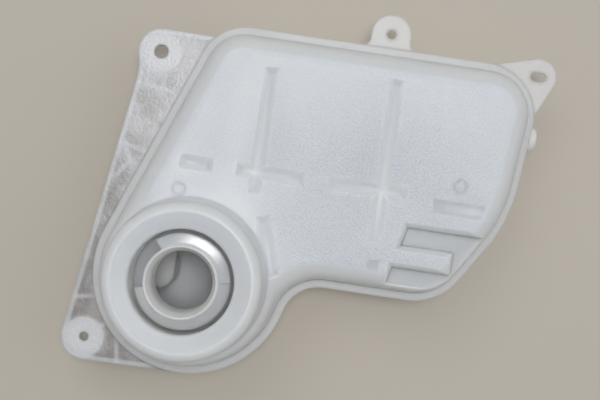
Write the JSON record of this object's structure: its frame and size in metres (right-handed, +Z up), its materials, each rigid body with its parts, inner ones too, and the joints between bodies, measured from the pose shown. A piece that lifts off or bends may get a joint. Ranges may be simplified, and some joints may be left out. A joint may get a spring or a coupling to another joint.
{
  "type": "coolant expansion tank",
  "caption": "Flat two-shell coolant expansion tank with a threaded filler neck at its round end, a fixing bracket, lugs, hose nozzles and level electrodes.",
  "frame": {"origin": "on the filler neck's axis, in the plane that the lower shell rests on", "axes": "+Z up along the filler neck, +X along the long straight side away from the neck, +Y towards that side"},
  "size_m": [0.2855, 0.2438, 0.109],
  "materials": {
    "shell_plastic": "natural translucent polypropylene with a fine moulded grain",
    "electrode_steel": "drawn stainless rod"
  },
  "bodies": {
    "root": {"upper_shell": "shell_plastic", "inner_walls": "shell_plastic", "lower_shell": "shell_plastic", "level_electrodes": "electrode_steel"}
  },
  "joints": []
}
